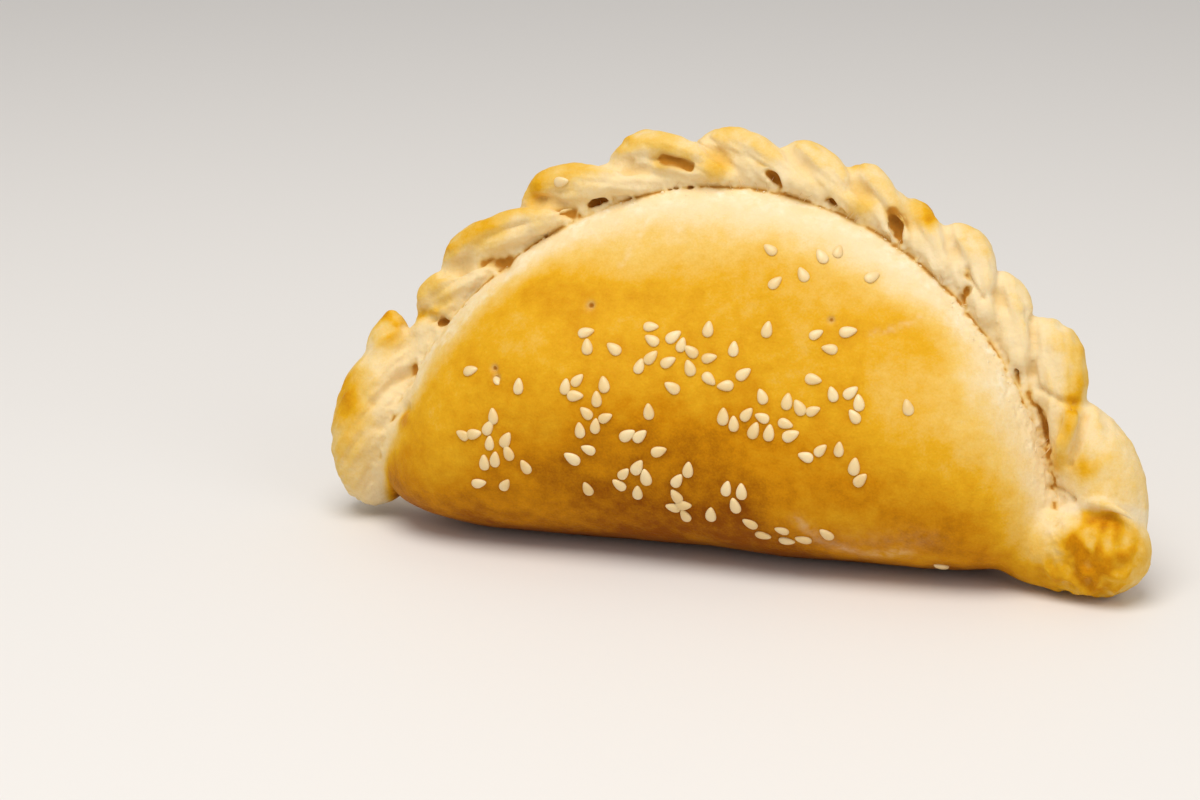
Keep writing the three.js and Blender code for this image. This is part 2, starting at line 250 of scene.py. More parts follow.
ROPE_PATCHES = [
    (159, 9.5, 4.5, 0.46), (156.5, 3.6, 3, -0.08), (149.4, 7, 2.6, 0.3), (147.8, 12, 2.2, 0.24),
    (145, 5.6, 1.6, 0.2), (140.5, 4.5, 4, 0.24), (135, 11, 4, 0.26), (129, 8, 4.5, 0.34),
    (120, 10, 5, 0.24), (114, 9, 4, 0.2), (121, 7, 2, 0.2), (106, 11, 3, 0.2),
    (101, 9.5, 3, 0.12), (101, 5.4, 2.2, 0.4), (97.6, 4, 2, 0.3), (92, 10.5, 4, 0.14),
    (85, 7, 3, 0.14), (79, 9.5, 3, 0.1), (73.5, 9, 1.4, 0.5), (62, 7.5, 3.5, 0.34),
    (60.5, 6.5, 1.6, 0.3), (55, 11, 3, 0.12), (35, 12.5, 4, 0.2), (31, 9.5, 3, 0.3),
    (27, 5, 2.5, 0.14), (23, 3, 3, 0.16), (22, 7, 2.5, 0.14), (15.2, 5.4, 1.7, 0.3),
    (15, 8, 2, 0.3), (14.2, 10.6, 2, 0.22), (12.2, 3.4, 2.6, 0.26), (9.4, 11.6, 3, 0.2),
    (11.6, 0.6, 3, 0.16), (8.2, 5.2, 4, 0.5), (7, -3, 6, 0.4), (3, 4, 8, 0.3),
    (29.4, 8.1, 1.3, 0.42), (21.3, 6.1, 1.8, 0.26), (18, 9, 7, 0.19), (8, 12, 8, 0.12),
    (92.8, 3, 3.2, 0.38), (69.7, 2.6, 3, 0.32), (165, 7, 6, 0.16),
]
# Narrow orange and pale lines of the rope: points by the seam, the width and the amount.
BROWN_LINES = [
    ([(14.4, 8.2), (12.7, 7.5), (10.9, 6.7)], 0.9, 0.2),
    ([(13.4, 10.3), (9.8, 10.8), (10, 12.4), (11.5, 13.4), (13, 13)], 0.9, 0.18),
    ([(13.4, 2.4), (11.7, 4), (10.6, 5)], 0.8, 0.14),
    ([(28.4, 7), (25, 4), (22.2, 1.4)], 1.5, 0.22),
    ([(16.8, 1), (16.6, 6.2), (15.9, 10.7), (13.9, 13.5), (12.6, 16)], 1, -0.3),
    ([(147.9, 12.6), (147.6, 8.2), (142.6, 3.4)], 0.7, 0.22),
]
# The rope's browning at its right and left end, what its ridges add, and the most it gets; the
# back's, what the puckers add, and the glaze that pools round the seeds.
ROPE_BROWNING = (0.1, 0.16)
RIDGE_BROWNING = 0.17
MOST_ROPE_BROWNING = 0.82
BACK_BROWNING = 0.62
PUCKER_BROWNING = 0.08
HALO = {"radius": 2.1, "amount": 0.07}
# The ripples that make the browning uneven and its edges wander.
FACE_WANDER = (2.5, 16, 7, 2)
MARGIN_WANDER = (0.35, 12, 8, 2)
PATCH_WANDER = (0.8, 3, 9, 2)
LINE_WANDER = (0.7, 1.8, 19)
PUCKER_MOTTLE = (0.26, 1.9, 15)
BACK_MOTTLES = [(0.16, 11, 10), (0.1, 3, 11)]
MOTTLES = [(0.09, 9, 12, 2), (0.05, 2.6, 24, 2)]
# The pale margin of the face along the seam: its width at the left and the right, and how pale.
MARGIN = {"left": 7, "right": 10, "fade": 0.74}
# Flour along the seam, and its streaks on the face: the path in x and y, the width and the amount.
FLOUR_DUST = {"out": -1.8, "spread": 2.2, "amount": 0.95}
DUST_WANDER = (1, 2.2, 13)
STREAK_WANDER = (0.5, 2.5, 14)
FLOUR_STREAKS = [
    ([(-13, 66.5), (-16, 61), (-18.5, 55)], 0.6, 0.4),
    ([(-8.5, 64.5), (-8.8, 60)], 0.5, 0.3),
    ([(30, 46), (36, 48), (41.5, 51)], 0.6, 0.25),
    ([(19.5, 12), (23.5, 8), (31, 5.5), (39, 7)], 1, 0.24),
    ([(28, 8), (36, 9.5), (44, 10)], 2.2, 0.06),
    ([(0, 68), (6, 67), (10, 66)], 1.2, 0.6),
    ([(15, 65), (22, 64)], 1.1, 0.5),
    ([(30, 58.5), (36, 56)], 0.8, 0.35),
]
# The colours of the dough by its browning, then the painted soft shade and the painted deep shade of
# the creases, hollows, crack and pin holes, and the others.
BROWNING_COLORS = [
    (0, (0.84, 0.7, 0.46)), (0.2, (0.83, 0.645, 0.345)),
    (0.4, (0.79, 0.52, 0.13)), (0.6, (0.73, 0.385, 0.014)),
    (0.8, (0.58, 0.235, 0.003)), (1, (0.26, 0.07, 0.0005)),
]
SOFT_SHADE_COLOR = (0.7, 0.45, 0.13)
HOLLOW_SHADE_COLOR = (0.42, 0.155, 0.006)
FLOUR_COLOR = (0.89, 0.81, 0.62)
SEED_COLORS = ((0.78, 0.56, 0.25), (0.86, 0.69, 0.4))
THREAD_COLOR = (0.72, 0.52, 0.26, 1)
CRUMB_COLORS = ((0.8, 0.64, 0.38), (0.86, 0.73, 0.49))
FLOOR_COLOR = (0.8, 0.79, 0.8, 1)
# Lumps to a metre in the materials' noise.
MOTTLE_SCALE = 420
SPECK_SCALE = 2600
DUST_SCALE = 700
PORE_SCALE = 1100
PIT_SCALE = 350
SEED_SCALE = 160
CRUMB_SCALE = 500

# How it stands: leaning back, and sunk by the flat pressed under the fold.
LEAN = math.radians(7)
FOOT_DEPTH = 2.3

# The camera looks from the photo's angle at VIEW_MIDDLE, right and up from VIEW_ORIGIN.
VIEW_AZIMUTH = math.radians(16)
VIEW_ELEVATION = math.radians(17)
VIEW_DISTANCE = 560
VIEW_ORIGIN = (-2.65, 6.82, 0)
VIEW_MIDDLE = (-24.466, 25.437)
FOCAL_PIXELS = 2884
IMAGE_WIDTH = 1200
SENSOR_WIDTH = 36

# The stage and the light, in metres and watts.
FLOOR_SIZE = 6
LIGHTS = [
    {"place": (-0.05, -0.3, 0.9), "size": 0.7, "power": 6.5, "color": (1, 0.96, 0.88)},
    {"place": (0.8, -0.5, 0.5), "size": 0.7, "power": 1.5, "color": (1, 0.96, 0.9)},
]
LIGHT_TARGET = (0, 0, 0.03)
SKY_COLOR = (1, 0.97, 0.92, 1)
SKY_STRENGTH = 0.48

# The meshes.
BODY_SUBDIVISIONS = 7
STRAND_SEGMENTS = (48, 48)
CORE_SEGMENTS = (32, 300)
KNOB_SEGMENTS = (64, 48)
HOLLOW_SEGMENTS = (20, 20)
GAP_SEGMENTS = (16, 400)
THREAD_SEGMENTS = (6, 10)
CRUMB_SEGMENTS = (7, 6)
SEED_SEGMENTS = (14, 12)
FIRST_VOXEL = 0.4
CUTTER_VOXEL = 0.2
LAST_VOXEL = 0.34
MOST_TRIANGLES = 196000
# How often the points are drawn together to fillet the knobs' joints, to soften the hollows' rims,
# and to find what swells, the ridges and the grooves.
FILLET_TIMES = 60
FILLET_WEIGHT = 0.8
FILLET_REACH = 17
RIM_TIMES = 14
RIM_WEIGHT = 0.6
SWELL_TIMES = 30
SHARPENING = 0.7
RIDGE_TIMES = 60
GROOVE_TIMES = 14


def lerp(a, b, t):
    return a + (b - a) * t


def smoothstep(x, low, high):
    t = np.clip((x - low) / (high - low), 0, 1)
    return t * t * (3 - 2 * t)


def noise(p, kind):
    """Smooth noise from -1 to 1 over points, one lump to a unit."""
    cell = np.floor(p)
    t = p - cell
    t = t * t * (3 - 2 * t)
    total = 0
    for corner in np.ndindex(2, 2, 2):
        q = cell + corner
        mixed = np.sin(q @ np.array(HASH_STEPS) + HASH_KIND * kind) * HASH_GAIN
        weight = np.prod(np.where(corner, t, 1 - t), axis=1)
        total = total + weight * (mixed - np.floor(mixed))
    return 2 * total - 1


def rough(p, kind, octaves):
    """Noise with finer lumps on the lumps."""
    return sum(noise(p * 2**i + 17 * i, kind) / 2**i for i in range(octaves)) / 1.5


def ripple(p, height, size, kind, octaves=3):
    return height * rough(p / size, kind, octaves)


def line_distance(a, b, path):
    """The distance of points (a, b) from a line through the path's points."""
    nearest = np.full(len(a), 1e9)
    for (a0, b0), (a1, b1) in zip(path, path[1:]):
        da, db = a1 - a0, b1 - b0
        share = np.clip(((a - a0) * da + (b - b0) * db) / (da * da + db * db), 0, 1)
        nearest = np.minimum(nearest, np.hypot(a - a0 - share * da, b - b0 - share * db))
    return nearest


def bell(distance, width):
    return np.exp(-((distance / width) ** 2))


# ---- the half-moon's form


def arc_reach(x, y):
    """The share of the way from the belly to the arc."""
    a = SEAM_HALF_LENGTH + EDGE_OUT
    b = SEAM_RISE + EDGE_OUT
    dx = x - BELLY[0]
    dy = y - BELLY[1]
    up = BELLY[1] - SEAM_CENTRE_Y
    square = (dx / a) ** 2 + (dy / b) ** 2
    half = up * dy / b**2
    rest = (up / b) ** 2 - 1
    return square / np.maximum(-half + np.sqrt(half * half - square * rest), 1e-12)


def fold_reach(y):
    """The share of the way from the belly to the fold."""
    return np.maximum(0, 1 - y / BELLY[1])


def reach(x, y):
    """0 at the belly, 1 on the half-moon's outline."""
    return (arc_reach(x, y) ** CORNER_POWER + fold_reach(y) ** CORNER_POWER) ** (1 / CORNER_POWER)


def dome(share, power):
    """A rounded fall from 1 at share 0 to 0 at share 1."""
    return (1 - np.minimum(share, 1) ** power) ** (1 / power)


def lumps(x, y):
    return LUMP_HEIGHT * (
        np.sin(x / 11 + 0.6) * np.sin(y / 9 + 1.1) + 0.6 * np.sin(x / 19 - y / 13)
    )


def curl(x):
    return END_CURL * (x / (SEAM_HALF_LENGTH + EDGE_OUT)) ** 2


def front_point(x, y):
    """The seeded face over (x, y)."""
    r = np.minimum(reach(x, y), 1)
    taper = 1 - ROOF_TAPER * smoothstep(y, BELLY[1], SEAM_RISE + SEAM_CENTRE_Y)
    pillow = dome(arc_reach(x, y), FRONT_POWER) * dome(fold_reach(y), FRONT_POWER)
    rim = (1 - r**RIM_POWER) ** 0.25
    z = FRONT_BULGE * taper * pillow * rim + lumps(x, y) * (1 - r**4)
    return np.stack([x, y, z + curl(x)], axis=-1)


def front_normal(x, y):
    step = 0.5
    along = front_point(x + step, y) - front_point(x - step, y)
    up = front_point(x, y + step) - front_point(x, y - step)
    normal = np.cross(along, up)
    return normal / np.linalg.norm(normal, axis=-1, keepdims=True)


def body_point(p):
    """Moves points of the unit sphere to the half-moon's surface."""
    across = np.hypot(p[:, 0], p[:, 1])
    safe = np.maximum(across, 1e-9)
    dx = p[:, 0] / safe
    dy = p[:, 1] / safe
    share = across / np.maximum(reach(BELLY[0] + dx, BELLY[1] + dy), 1e-9)
    x = BELLY[0] + dx * share
    y = BELLY[1] + dy * share
    back = np.stack([x, y, curl(x) - BACK_BULGE * dome(across, BACK_POWER)], axis=-1)
    return np.where(p[:, 2:] > 0, front_point(x, y), back)


def seam_point(degrees, out, forward):
    """A point by the seam: degrees along the arc, out from the seam, and forward."""
    angle = np.radians(degrees)
    nx = np.cos(angle) / SEAM_HALF_LENGTH
    ny = np.sin(angle) / SEAM_RISE
    length = np.hypot(nx, ny)
    x = SEAM_HALF_LENGTH * np.cos(angle) + out * nx / length
    y = SEAM_CENTRE_Y + SEAM_RISE * np.sin(angle) + out * ny / length
    return np.stack(np.broadcast_arrays(x, y, forward + curl(x)), axis=-1)


def seam_place(p):
    """The inverse of seam_point: degrees, out and forward of each point."""
    x = p[:, 0]
    y = p[:, 1] - SEAM_CENTRE_Y
    a = SEAM_HALF_LENGTH
    b = SEAM_RISE
    angle = np.arctan2(y / b, x / a)
    for _ in range(6):
        sin = np.sin(angle)
        cos = np.cos(angle)
        slope = (x - a * cos) * -a * sin + (y - b * sin) * b * cos
        bend = -a * cos * (x - a * cos) - b * sin * (y - b * sin) - (a * sin) ** 2 - (b * cos) ** 2
        angle = angle - slope / np.minimum(bend, -1)
    dx = x - a * np.cos(angle)
    dy = y - b * np.sin(angle)
    side = np.sign(dx * np.cos(angle) / a + dy * np.sin(angle) / b)
    return np.degrees(angle), side * np.hypot(dx, dy), p[:, 2] - curl(x)


def seam_distance(degrees, out, path):
    """The distance in millimetres of points by the seam from a line through the path's points."""
    line = [(-d * MM_PER_DEGREE, o) for d, o, *_ in path]
    return line_distance(-degrees * MM_PER_DEGREE, out, line)


def spot(degrees, out, place, spread):
    """1 at a place by the seam, less round it."""
    return bell(np.hypot((degrees - place[0]) * MM_PER_DEGREE, out - place[1]), spread)


def on_front(p, low, high):
    """0 on the back of the dough, 1 on its front."""
    return smoothstep(p[:, 2] - curl(p[:, 0]), low, high)


# ---- plain closed meshes


class Shape:
    """A closed mesh as arrays of points and faces."""

    def __init__(self, points, faces):
        self.points = points
        self.faces = faces


def ball(sides, rings):
    """A unit sphere with its poles on the y axis."""
    turn = 2 * np.pi * np.arange(sides) / sides
    fall = np.pi * np.arange(1, rings) / rings
    ring = np.stack(
        [
            np.outer(np.sin(fall), np.cos(turn)),
            np.repeat(np.cos(fall)[:, None], sides, axis=1),
            -np.outer(np.sin(fall), np.sin(turn)),
        ],
        axis=-1,
    ).reshape(-1, 3)
    points = np.vstack([[0, 1, 0], ring, [0, -1, 0]])
    last = len(points) - 1
    faces = []
    for j in range(sides):
        k = (j + 1) % sides
        faces.append((0, 1 + j, 1 + k))
        faces.append((last, last - sides + k, last - sides + j))
        for i in range(rings - 2):
            a = 1 + i * sides
            faces.append((a + j, a + sides + j, a + sides + k, a + k))
    return Shape(points, faces)


def icosphere(subdivisions):
    bpy.ops.mesh.primitive_ico_sphere_add(subdivisions=subdivisions, radius=1)
    found = bpy.context.object
    points = mesh_points(found.data)
    faces = [tuple(face.vertices) for face in found.data.polygons]
    mesh = found.data
    bpy.data.objects.remove(found)
    bpy.data.meshes.remove(mesh)
    return Shape(points, faces)


def joined(shapes):
    points = np.vstack([shape.points for shape in shapes])
    faces = []
    start = 0
    for shape in shapes:
        faces.extend(tuple(start + i for i in face) for face in shape.faces)
        start += len(shape.points)
    return Shape(points, faces)


def curve_points(points, t):
    """A centripetal Catmull-Rom curve through the points, at the shares t."""
    points = np.asarray(points, float)
    padded = np.vstack([2 * points[0] - points[1], points, 2 * points[-1] - points[-2]])
    place = t * (len(points) - 1)
    index = np.minimum(place.astype(int), len(points) - 2)
    w = (place - index)[:, None]
    p0, p1, p2, p3 = (padded[index + i] for i in range(4))
    gaps = [np.linalg.norm(q - p, axis=1, keepdims=True) ** 0.5 for p, q in ((p0, p1), (p1, p2), (p2, p3))]
    start = ((p1 - p0) / gaps[0] - (p2 - p0) / (gaps[0] + gaps[1]) + (p2 - p1) / gaps[1]) * gaps[1]
    end = ((p2 - p1) / gaps[1] - (p3 - p1) / (gaps[1] + gaps[2]) + (p3 - p2) / gaps[2]) * gaps[1]
    return (
        p1
        + start * w
        + (3 * (p2 - p1) - 2 * start - end) * w**2
        + (2 * (p1 - p2) + start + end) * w**3
    )


def strand(points, radius_at, segments, deep=1):
    """A blob along a curve, round in section or deeper than wide."""
    shape = ball(*segments)
    p = shape.points
    t = (1 - p[:, 1]) / 2
    step = 1e-3
    ahead = curve_points(points, np.minimum(t + step, 1))
    behind = curve_points(points, np.maximum(t - step, 0))
    tangent = ahead - behind
    tangent /= np.linalg.norm(tangent, axis=1, keepdims=True)
    side = np.cross(tangent, (0, 0, 1))
    side /= np.linalg.norm(side, axis=1, keepdims=True)
    rise = np.cross(tangent, side)
    radius = np.asarray(radius_at(t))[..., None] * np.ones((len(p), 1))
    shape.points = curve_points(points, t) + side * p[:, :1] * radius + rise * p[:, 2:] * radius * deep
    return shape


# ---- the dough's pieces


def body():
    shape = icosphere(BODY_SUBDIVISIONS)
    shape.points = body_point(shape.points)
    return shape


def core():
    degrees = np.linspace(CORE["start"], CORE["end"], 25)
    points = seam_point(degrees, CORE["out"], CORE["forward"])
    return strand(points, lambda t: CORE["radius"], CORE_SEGMENTS)


def swelling(points, radii, segments=STRAND_SEGMENTS, deep=1):
    """A strand that is as thick at each of its points as the radius given for it."""
    places = np.linspace(0, 1, len(radii))
    return strand(points, lambda t: np.interp(t, places, radii), segments, deep)


def crimp(crest, tail, out, head, tip):
    """One fold of the rope: a rounded head on the crest, rolled down in front to a tip at the seam."""
    path = [
        seam_point(lerp(crest, tail, share), lerp(out - head, TIP_OUT, fall), forward)
        for share, fall, _, forward in CRIMP_PATH
    ]
    return swelling(path, [lerp(head, tip, thinner) for _, _, thinner, _ in CRIMP_PATH])


def scoops():
    """The scoop of each fold as a crease."""
    shares, falls, thinner, _ = np.array(CRIMP_PATH).T
    found = []
    for i, (crest, tail, out, head, tip) in enumerate(CRIMPS):
        path = []
        for share, above in zip(SCOOP["shares"], SCOOP["above"]):
            radius = lerp(head, tip, np.interp(share, shares, thinner))
            middle = lerp(out - head, TIP_OUT, np.interp(share, shares, falls))
            path.append((lerp(crest, tail, share), middle + above * radius))
        depth = lerp(*SCOOP_DEPTH, 0.5 + 0.5 * math.sin(SCOOP_STEP * i))
        found.append((path, depth, SCOOP_WIDTH))
    return found


def roll(path, radii, segments=STRAND_SEGMENTS, deep=1):
    """A strand through points by the seam."""
    return swelling([seam_point(*place) for place in path], radii, segments, deep)


def web_points(out, above):
    """A line along the dough between the face and the rope, and the degrees of its points."""
    degrees = np.linspace(WEB[0][0], WEB[-1][0], WEB_STEPS)
    places, forward = zip(*reversed(WEB))
    return seam_point(degrees, out, np.interp(degrees, places, forward) + above), degrees


def web():
    points, _ = web_points(WEB_OUT, 0)
    return strand(points, lambda t: WEB_RADIUS, CORE_SEGMENTS)


def gap():
    """The torn gap between the face and the rope, now wider and now narrower."""
    _, degrees = web_points(0, 0)
    along = np.stack([degrees / GAP_LUMP, 0 * degrees, 0 * degrees], axis=1)
    points, _ = web_points(GAP_OUT + GAP_WANDER * noise(along, 21), GAP_ABOVE)
    inside = (degrees < GAP_ENDS[0]) & (degrees > GAP_ENDS[1])
    radii = lerp(*GAP_RADIUS, (noise(along + 50, 22) + 1) / 2)
    return swelling(points[inside], radii[inside], GAP_SEGMENTS, GAP_DEEP)


def knob(first, last, first_radius, last_radius):
    start = np.array(first, float)
    along = np.array(last, float) - start
    turn = np.array(Vector((0, 1, 0)).rotation_difference(Vector(along)).to_matrix())
    shape = ball(*KNOB_SEGMENTS)
    p = shape.points
    radius = lerp(first_radius, last_radius, (p[:, 1:2] + 1) / 2)
    share = smoothstep(p[:, 1:2], -0.3, 0.3)
    shape.points = p @ turn.T * radius + start + along * share
    return shape


# ---- seeds


def make_random(seed):
    """A repeatable stream of numbers from 0 to 1."""
    state = seed
    while True:
        state = (state * 1664525 + 1013904223) % 2**32
        yield state / 2**32


def scatter():
    """Places for the seeds on the face, each with its turn and its size."""
    random = make_random(SEED_STREAM)

    def spread():
        return next(random) + next(random) - 1

    places = []
    for middle_x, middle_y, wide, high, count in SEED_PATCHES:
        for _ in range(count):
            for _ in range(SEED_TRIES):
                x = middle_x + wide * spread()
                y = middle_y + high * spread()
                if all(math.hypot(x - other[0], y - other[1]) > SEED_SPACING for other in places):
                    break
            turn = math.pi * (0.5 + SEED_TURN * spread())
            places.append((x, y, turn, 1 + SEED_VARIATION * spread()))
    return places


def seed(point, normal, turn, size):
    """A teardrop on a surface, made of a sphere with its poles at the seed's two ends."""
    tip = np.array([math.cos(turn), math.sin(turn), 0])
    tip -= normal * tip.dot(normal)
    tip /= np.linalg.norm(tip)
    side = np.cross(tip, normal)
    middle = point + normal * (SEED_THICKNESS / 2 - SEED_SUNK)
    shape = ball(*SEED_SEGMENTS)
    p = shape.points * size / 2
    width = SEED_WIDTH * (1 - SEED_TAPER * p[:, 1:2] / size)
    shape.points = middle + tip * p[:, 1:2] * SEED_LENGTH + side * p[:, :1] * width
    shape.points = shape.points + normal * p[:, 2:] * SEED_THICKNESS
    return shape


def seeds(surface):
    """The seeds, seated where surface(x, y) gives the point and the normal of the crust."""
    found = []
    for x, y, turn, size in scatter():
        found.append(seed(*surface(x, y), turn, size))
    x, y, _ = seam_point(ROPE_SEED["degrees"], ROPE_SEED["out"], 0)
    found.append(seed(*surface(x, y), ROPE_SEED["turn"], 1))
    return found


# ---- torn threads and flour


def threads(surface, random):
    """Thin threads of dough torn between the rope and the face."""

    def between(low, high):
        return lerp(low, high, next(random))

    found = []
    for stretch, count, reach in THREADS:
        for _ in range(count):
            degrees = between(*stretch)
            top = seam_point(degrees + between(*THREAD_TOP["beside"]), between(THREAD_TOP["out"], reach), 0)
            foot = seam_point(degrees + between(*THREAD_FOOT["beside"]), between(*THREAD_FOOT["out"]), 0)
            start, _ = surface(top[0], top[1])
            end, _ = surface(foot[0], foot[1])
            sag = np.array([between(*THREAD_SAG["aside"]), 0, between(*THREAD_SAG["forward"])])
            thick = lerp(*THREAD_RADIUS, next(random) ** 2)
            radii = [thick * share for share in THREAD_SHAPE]
            found.append(swelling([start, (start + end) / 2 + sag, end], radii, THREAD_SEGMENTS))
    return found


def crumbs(surface, random):
    """Small clumps of flour and dough."""
    found = []
    plain_ball = ball(*CRUMB_SEGMENTS)
    for stretch, count, spread in CRUMBS:
        for _ in range(count):
            degrees = lerp(*stretch, next(random))
            out = CRUMB_OUT - spread * next(random) ** 2
            x, y, _ = seam_point(degrees, out, 0)
            point, normal = surface(x, y)
            size = lerp(*CRUMB_RADIUS, next(random) ** 3)
            apart = 100 * next(random)
            lumpy = 1 + CRUMB_LUMPS["height"] * noise(plain_ball.points * CRUMB_LUMPS["fine"] + apart, 31)
            points = plain_ball.points * lumpy[:, None] * size
            points = points * (1, lerp(*CRUMB_THICK, next(random)), CRUMB_WIDE)
            found.append(Shape(points + point - normal * size * CRUMB_SUNK, plain_ball.faces))
    return found


# ---- meshes in Blender


def read_values(items, name, width, kind=np.float32):
    """A property of all the items of a mesh, as an array with a row for each."""
    values = np.empty(len(items) * width, kind)
    items.foreach_get(name, values)
    return values.reshape(-1, width)


def mesh_points(mesh):
    return read_values(mesh.vertices, "co", 3).astype(float)


def mesh_normals(mesh):
    return read_values(mesh.vertex_normals, "vector", 3).astype(float)


def mesh_edges(mesh):
    return read_values(mesh.edges, "vertices", 2, np.int32)


def set_points(mesh, points):
    mesh.vertices.foreach_set("co", points.astype(np.float32).ravel())
    mesh.update()


def relaxed(points, edges, times, weight=1.0):
    """The points drawn towards the middle of their neighbours, some times over."""
    count = len(points)
    a, b = edges.T
    degree = np.maximum(np.bincount(a, minlength=count) + np.bincount(b, minlength=count), 1)
    for _ in range(times):
        middle = np.stack(
            [
                np.bincount(a, points[b, i], minlength=count) + np.bincount(b, points[a, i], minlength=count)
                for i in range(points.shape[1])
            ],
            axis=1,
        )
        points = points + (middle / degree[:, None] - points) * np.reshape(weight, (-1, 1))
    return points


def set_mask(mesh, name, values):
    attribute = mesh.attributes.new(name, "FLOAT", "POINT")
    attribute.data.foreach_set("value", np.asarray(values, np.float32))


def make_object(name, shape):
    mesh = bpy.data.meshes.new(name)
    mesh.from_pydata(shape.points.tolist(), [], shape.faces)
    mesh.shade_smooth()
    made = bpy.data.objects.new(name, mesh)
    bpy.context.scene.collection.objects.link(made)
    return made


def modify(made, kind, **settings):
    """Changes the object's mesh by a modifier."""
    modifier = made.modifiers.new(kind, kind)
    for key, value in settings.items():
        setattr(modifier, key, value)
    graph = bpy.context.evaluated_depsgraph_get()
    mesh = bpy.data.meshes.new_from_object(made.evaluated_get(graph))
    made.modifiers.clear()
    made.data = mesh


def remesh(made, voxel):
    modify(made, "REMESH", mode="VOXEL", voxel_size=voxel)


def smooth(made):
    modify(made, "SMOOTH", factor=0.5, iterations=2)


def carve(made, shapes):
    """Cuts the shapes out of the object."""
    cutter = make_object("cutter", joined(shapes))
    remesh(cutter, CUTTER_VOXEL)
    modify(made, "BOOLEAN", operation="DIFFERENCE", solver="MANIFOLD", object=cutter)
    bpy.data.objects.remove(cutter)


def decimate(made, most):
    made.data.calc_loop_triangles()
    ratio = min(1, most / len(made.data.loop_triangles))
    modify(made, "DECIMATE", ratio=ratio, use_collapse_triangulate=True)


def upright(points):
    """Turns the half-moon's frame to stand, leaning back a little."""
    turn = Matrix.Rotation(math.pi / 2 - LEAN, 3, "X")
    return points @ np.array(turn).T


# ---- the baked surface


def on_face(p, out):
    """1 on the seeded face inside the seam, 0 on the rope and the back."""
    return smoothstep(-out, 0.8, 3.5) * smoothstep(p[:, 2], -3, 2)


def fillets(p):
    """How much the joints between the dough's parts are smoothed at each point."""
    weight = np.zeros(len(p))
    for first, last, _, _ in KNOBS:
        middle = (np.array(first) * 2 + np.array(last)) / 3
        weight = np.maximum(weight, bell(np.linalg.norm(p - middle, axis=1), FILLET_REACH))
    back = smoothstep(-p[:, 2], -2, 6)
    return np.clip(np.maximum(weight * 1.3, back), 0, 1)


def hollow_rims(p):
    """1 at the mouths of the hollows, 0 away from them."""
    degrees, out, _ = seam_place(p)
    weight = np.zeros(len(p))
    for path, radii, _ in HOLLOWS:
        weight = np.maximum(weight, bell(seam_distance(degrees, out, path), HOLLOW_RIM + max(radii)))
    return weight * on_front(p, 0, 2)


def hollow_shade(p, grooves):
    """Painted shade: 1 inside the hollows and under them, less round their mouths, 0 away from them."""
    nearest = np.full(len(p), 1e9)
    inside = np.zeros(len(p))
    for path, radii, deep in HOLLOWS:
        points = np.array([seam_point(*place) for place in path])
        for i, (start, end) in enumerate(zip(points, points[1:])):
            along = end - start
            share = np.clip((p - start)[:, :2] @ along[:2] / (along[:2] @ along[:2]), 0, 1)
            radius = lerp(radii[i], radii[i + 1], share)
            away = p - start - share[:, None] * along
            above = np.maximum(away[:, 2], 0) / deep
            under = np.maximum(-away[:, 2], 0)
            far = np.hypot(np.hypot(away[:, 0], away[:, 1]), above + np.maximum(under - HOLLOW_SHADE_REACH, 0))
            nearest = np.minimum(nearest, far - radius - HOLLOW_SHADE_SPREAD * under)
            inside = np.maximum(inside, smoothstep(under, 0.8, 2.4) * (1 - smoothstep(far - radius, 0.5, 2)))
    return (1 - smoothstep(nearest, -0.5, 1.4)) * np.maximum(smoothstep(grooves, -0.08, 0.2), inside)


def dents(p):
    """How deep the face's pin holes are at each point."""
    deep = 0
    for x, y, radius, depth in DENTS:
        deep = deep + depth * bell(np.hypot(p[:, 0] - x, p[:, 1] - y), radius)
    return deep * smoothstep(p[:, 2], 0, 4)


def grain(p, degrees, out):
    """The grain of the dough that was stretched round the rope."""
    arc = -degrees * MM_PER_DEGREE
    along = arc * math.cos(GRAIN_SLOPE) - out * math.sin(GRAIN_SLOPE)
    across = arc * math.sin(GRAIN_SLOPE) + out * math.cos(GRAIN_SLOPE)
    rise = 0
    for height, length, width, depth, kind in GRAINS:
        place = np.stack([along / length, across / width, p[:, 2] / depth], axis=1)
        rise = rise + height * noise(place, kind)
    return rise * smoothstep(degrees, *GRAIN_ENDS)


def puckers(p, degrees, out):
    """The gathered dough of the right knob."""
    folds = 1 - np.abs(noise(p / PUCKER_FOLD["size"], 5)) * 2
    rise = PUCKER_FOLD["height"] * folds + ripple(p, *PUCKER["ripple"])
    gathered = spot(degrees, out, PUCKER["place"], PUCKER["spread"])
    return PUCKER["depth"] * gathered * rise * smoothstep(p[:, 2], 8, 13)


def relief(p):
    """How far the baked dough's surface rises at each point."""
    degrees, out, _ = seam_place(p)
    front = on_front(p, 1, 3)
    rise = on_face(p, out) * (ripple(p, *FACE_SWELL) + ripple(p, *FACE_RIPPLE))
    rise += smoothstep(out, -0.5, 1.5) * (ripple(p, *ROPE_RIPPLE) + grain(p, degrees, out))
    rise += ripple(p, *RAGGED["ripple"]) * bell(out - RAGGED["out"], RAGGED["spread"]) * front
    crumbly = bell(out - CRUMBLY["out"], CRUMBLY["spread"]) * (1 - smoothstep(degrees, *CRUMBLY["fade"]))
    rise += ripple(p, *CRUMBLY["ripple"]) * crumbly * front
    for path, depth, width in CREASES + scoops():
        rise -= depth * bell(seam_distance(degrees, out, path), width) * on_front(p, 1, 4)
    rise += ripple(p, *LUMPY["ripple"]) * spot(degrees, out, LUMPY["place"], LUMPY["spread"]) * front
    return rise - dents(p) + puckers(p, degrees, out)


